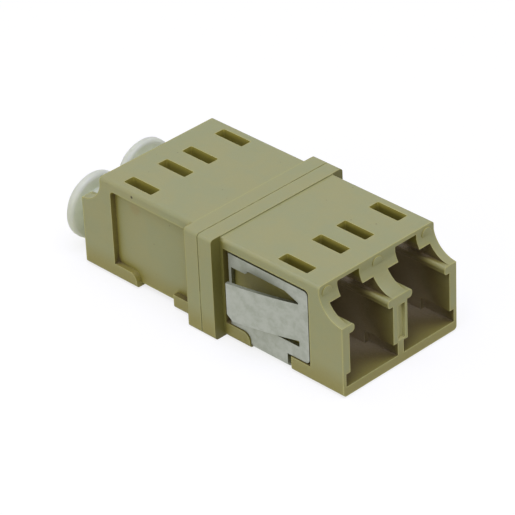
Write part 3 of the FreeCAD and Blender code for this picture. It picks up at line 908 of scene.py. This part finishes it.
class StageShading:
    """The node tree of the floor or the surroundings: one look for the eye, another for the light."""

    def __init__(self, owner: bpy.types.Material | bpy.types.World, output: str) -> None:
        """Start with an empty tree.

        Args:
            owner: The material or world that holds the tree.
            output: Blender's type of its output node.
        """
        owner.use_nodes = True
        self.tree = owner.node_tree
        self.tree.nodes.clear()
        self.surface = self.tree.nodes.new(output).inputs["Surface"]

    def shader(self, kind: str, **values: object) -> Socket:
        """Add a shader and set its sockets.

        Args:
            kind: Blender's node type.
            **values: Socket names and values.

        Returns:
            The shader's output.
        """
        node = self.tree.nodes.new(kind)
        for name, value in values.items():
            node.inputs[name].default_value = value
        return node.outputs[0]

    def joined(self, kind: str, first: Socket, second: Socket) -> bpy.types.Node:
        """Add a Mix or Add Shader node.

        Args:
            kind: Blender's node type.
            first: The shader on its last input but one.
            second: The shader on its last input.

        Returns:
            The node.
        """
        node = self.tree.nodes.new(kind)
        self.tree.links.new(first, node.inputs[-2])
        self.tree.links.new(second, node.inputs[-1])
        return node

    def seen_directly(self) -> Socket:
        """A mask of where a camera, mirror or glass ray looks.

        Returns:
            1 for those rays, 0 for the light that falls on things.
        """
        path = self.tree.nodes.new("ShaderNodeLightPath")
        total = path.outputs["Is Camera Ray"]
        for name in ("Is Glossy Ray", "Is Transmission Ray"):
            larger = self.tree.nodes.new("ShaderNodeMath")
            larger.operation = "MAXIMUM"
            self.tree.links.new(total, larger.inputs[0])
            self.tree.links.new(path.outputs[name], larger.inputs[1])
            total = larger.outputs[0]
        return total

    def finish(self, lit: Socket, seen: Socket) -> None:
        """Show one shader to the eye and the other to everything else.

        Args:
            lit: What throws light on things.
            seen: What a camera, mirror or glass ray sees.
        """
        choice = self.joined("ShaderNodeMixShader", lit, seen)
        self.tree.links.new(self.seen_directly(), choice.inputs["Fac"])
        self.tree.links.new(choice.outputs[0], self.surface)


@dataclass
class Studio:
    """Pale floor, even surroundings and soft lamps."""

    floor_size: float = 2.0
    floor_drop: float = 0.002 * MM
    floor_tone: Colour = (0.82, 0.805, 0.66)
    floor_glow: float = 0.76
    floor_shade: Colour = (0.27, 0.27, 0.27)
    ambient: float = 0.36
    ambient_tint: Colour = (1.0, 0.985, 0.93)
    background: Colour = (1.0, 1.0, 1.0)
    lamps: tuple[Softbox, ...] = (
        Softbox("overhead", Vector((0.10, -0.08, 0.55)), 0.50, 2.15, (0.985, 0.99, 1.28)),
        Softbox("side_fill", Vector((-0.12, -0.50, 0.22)), 0.40, 0.45, (1.0, 0.985, 0.92)),
    )

    def floor_material(self) -> bpy.types.Material:
        """A pale floor that looks white but keeps the object's soft shadow.

        Returns:
            The material.
        """
        material = bpy.data.materials.new("floor_white")
        shading = StageShading(material, "ShaderNodeOutputMaterial")
        plain = shading.shader("ShaderNodeBsdfDiffuse", Color=(*self.floor_tone, 1.0))
        shade = shading.shader("ShaderNodeBsdfDiffuse", Color=(*self.floor_shade, 1.0))
        glow = shading.shader("ShaderNodeEmission", Strength=self.floor_glow)
        shading.finish(plain, shading.joined("ShaderNodeAddShader", shade, glow).outputs[0])
        return material

    def floor(self) -> bpy.types.Object:
        """Make the floor, white where it is seen, with the object's soft shadow.

        Returns:
            The floor.
        """
        form = bmesh.new()
        bmesh.ops.create_grid(form, x_segments=1, y_segments=1, size=self.floor_size / 2)
        mesh = bpy.data.meshes.new("floor")
        form.to_mesh(mesh)
        form.free()
        mesh.materials.append(self.floor_material())
        floor = bpy.data.objects.new("floor", mesh)
        floor.location.z = -self.floor_drop
        bpy.context.scene.collection.objects.link(floor)
        return floor

    def surroundings(self) -> None:
        """Light the object evenly from all round, and show plain white where the eye looks past it."""
        world = bpy.data.worlds.new("surroundings")
        shading = StageShading(world, "ShaderNodeOutputWorld")
        light = shading.shader("ShaderNodeBackground", Color=(*self.ambient_tint, 1.0), Strength=self.ambient)
        white = shading.shader("ShaderNodeBackground", Color=(*self.background, 1.0), Strength=1.0)
        shading.finish(light, white)
        bpy.context.scene.world = world

    def build(self) -> None:
        """Make the floor, the surroundings and the lamps."""
        self.floor()
        self.surroundings()
        for lamp in self.lamps:
            lamp.build()
        bpy.context.scene.view_settings.view_transform = "Standard"


def main() -> None:
    """Load the solids, dress every piece and set up the studio."""
    logging.basicConfig(level=logging.INFO, format="%(message)s", stream=sys.stdout)
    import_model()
    Viewpoint().build()
    Studio().build()
    pieces = [
        *Housing().build(MouldedBeige()),
        *SpringClip().build(SpringSteel()),
        *AlignmentSleeves().build(Zirconia()),
        *DustCaps().build(NaturalPolyethylene()),
    ]
    LOG.info("%d pieces dressed", len(pieces))


if __name__ == "__main__":
    main()
